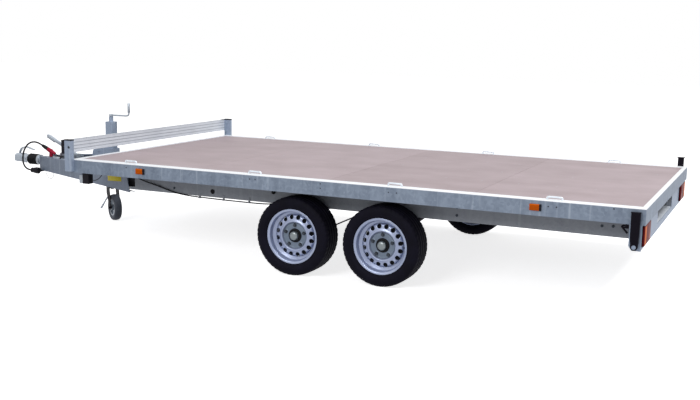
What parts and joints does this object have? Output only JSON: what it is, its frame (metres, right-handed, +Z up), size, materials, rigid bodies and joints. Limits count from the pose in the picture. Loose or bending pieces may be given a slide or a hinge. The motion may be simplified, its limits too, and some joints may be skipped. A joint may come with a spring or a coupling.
{
  "type": "car hauler trailer",
  "caption": "Flat-deck tandem-axle trailer for carrying a car, with V drawbar, overrun coupling, jockey wheel, low headboard and rear prop stands.",
  "frame": {"origin": "on the ground at the middle of the whole length and width", "axes": "+X forward along the drawbar to the coupling, +Y to the left, +Z up"},
  "size_m": [5.53, 2.2206, 0.983],
  "materials": {
    "galvanised": "hot-dip galvanised, matt spangle",
    "galvanised_dark": "hot-dip galvanised, dull grey",
    "plywood": "brown phenolic film, fine mesh",
    "aluminium": "mill finish extrusion",
    "wheel_paint": "silver paint, satin",
    "tyre": "black rubber",
    "black_plastic": "moulded black",
    "black_steel": "black paint, satin",
    "zinc": "bright zinc plate",
    "rubber": "black rubber, matt",
    "grey_rubber": "grey solid rubber",
    "red_lens": "red and amber lens",
    "amber_lens": "amber lens",
    "clear_lens": "clear prismatic lens",
    "red_plastic": "moulded red",
    "steel_wire": "bare stranded wire"
  },
  "bodies": {
    "chassis": {"side_rail_left": "galvanised", "side_rail_right": "galvanised", "rear_beam": "galvanised", "front_beam": "galvanised", "deck_boards": "plywood", "cross_members": "galvanised_dark", "long_beam_left": "galvanised_dark", "long_beam_right": "galvanised_dark", "drawbar_arm_left": "galvanised", "drawbar_arm_right": "galvanised", "drawbar_ties": "galvanised", "overrun_housing": "zinc", "bellows": "rubber", "coupling_body": "zinc", "coupling_handle": "zinc", "brake_rods": "zinc", "jack_bracket": "galvanised", "jack_tube": "galvanised", "axle_front": "galvanised", "axle_rear": "galvanised", "swing_arms_front": "galvanised_dark", "swing_arms_rear": "galvanised_dark", "headboard_posts": "galvanised", "headboard": "aluminium", "end_caps": "black_plastic", "tail_panel": "galvanised", "ramp_tray": "galvanised_dark", "corner_plates": "galvanised", "lock_pins": "black_steel", "rear_lamps": "red_lens", "side_markers": "amber_lens", "front_lamp_bodies": "black_plastic", "front_lamp_lenses": "clear_lens", "lashing_loops": "zinc", "cable_boot": "rubber", "cable_clip": "red_plastic", "plug": "black_plastic", "plug_holder": "black_plastic", "light_cable": "rubber", "breakaway_wire": "steel_wire"},
    "wheel_front_left_body": {"tyre_front_left": "tyre", "wheel_front_left": "wheel_paint"},
    "wheel_front_right_body": {"tyre_front_right": "tyre", "wheel_front_right": "wheel_paint"},
    "wheel_rear_left_body": {"tyre_rear_left": "tyre", "wheel_rear_left": "wheel_paint"},
    "wheel_rear_right_body": {"tyre_rear_right": "tyre", "wheel_rear_right": "wheel_paint"},
    "jack_leg_body": {"jack_leg": "zinc"},
    "jockey_fork_body": {"jockey_fork": "black_steel"},
    "jockey_wheel_body": {"jockey_rim": "zinc", "jockey_tyre": "grey_rubber"},
    "crank_body": {"jack_crank": "zinc"},
    "handbrake_body": {"handbrake_lever": "zinc"},
    "stand_left_body": {"stand_leg_left": "black_steel"},
    "stand_left_foot_body": {"stand_foot_left": "black_steel"},
    "stand_right_body": {"stand_leg_right": "black_steel"},
    "stand_right_foot_body": {"stand_foot_right": "black_steel"}
  },
  "joints": [
    {"name": "wheel_front_left_spin", "type": "hinge", "parent": "chassis", "child": "wheel_front_left_body", "pos_m": [-0.528, 0.963, 0.2625], "axis": [0, 1, 0], "continuous": true},
    {"name": "wheel_front_right_spin", "type": "hinge", "parent": "chassis", "child": "wheel_front_right_body", "pos_m": [-0.528, -0.963, 0.2625], "axis": [0, 1, 0], "continuous": true},
    {"name": "wheel_rear_left_spin", "type": "hinge", "parent": "chassis", "child": "wheel_rear_left_body", "pos_m": [-1.155, 0.963, 0.2625], "axis": [0, 1, 0], "continuous": true},
    {"name": "wheel_rear_right_spin", "type": "hinge", "parent": "chassis", "child": "wheel_rear_right_body", "pos_m": [-1.155, -0.963, 0.2625], "axis": [0, 1, 0], "continuous": true},
    {"name": "jack_slide", "type": "slide", "parent": "chassis", "child": "jack_leg_body", "axis": [0, 0, 1], "range_m": [0, 0.145]},
    {"name": "jockey_swivel", "type": "hinge", "parent": "jack_leg_body", "child": "jockey_fork_body", "pos_m": [1.725, 0, 0.28], "axis": [0, 0, 1], "continuous": true},
    {"name": "jockey_spin", "type": "hinge", "parent": "jockey_fork_body", "child": "jockey_wheel_body", "pos_m": [1.67585, 0.03441, 0.11], "axis": [0.5736, 0.8192, 0], "continuous": true},
    {"name": "crank_turn", "type": "hinge", "parent": "chassis", "child": "crank_body", "pos_m": [1.725, 0, 0.877], "axis": [0, 0, 1], "continuous": true},
    {"name": "handbrake_hinge", "type": "hinge", "parent": "chassis", "child": "handbrake_body", "pos_m": [2.075, 0, 0.502], "axis": [0, -1, 0], "range_deg": [-22, 40]},
    {"name": "stand_left_fold", "type": "hinge", "parent": "chassis", "child": "stand_left_body", "pos_m": [-2.713, 1.092, 0.436], "axis": [0, -1, 0], "range_deg": [0, 180]},
    {"name": "stand_left_draw", "type": "slide", "parent": "stand_left_body", "child": "stand_left_foot_body", "axis": [0, 0, 1], "range_m": [0, 0.13]},
    {"name": "stand_right_fold", "type": "hinge", "parent": "chassis", "child": "stand_right_body", "pos_m": [-2.713, -1.092, 0.436], "axis": [0, -1, 0], "range_deg": [0, 180]},
    {"name": "stand_right_draw", "type": "slide", "parent": "stand_right_body", "child": "stand_right_foot_body", "axis": [0, 0, 1], "range_m": [-0.085, 0.045]}
  ]
}
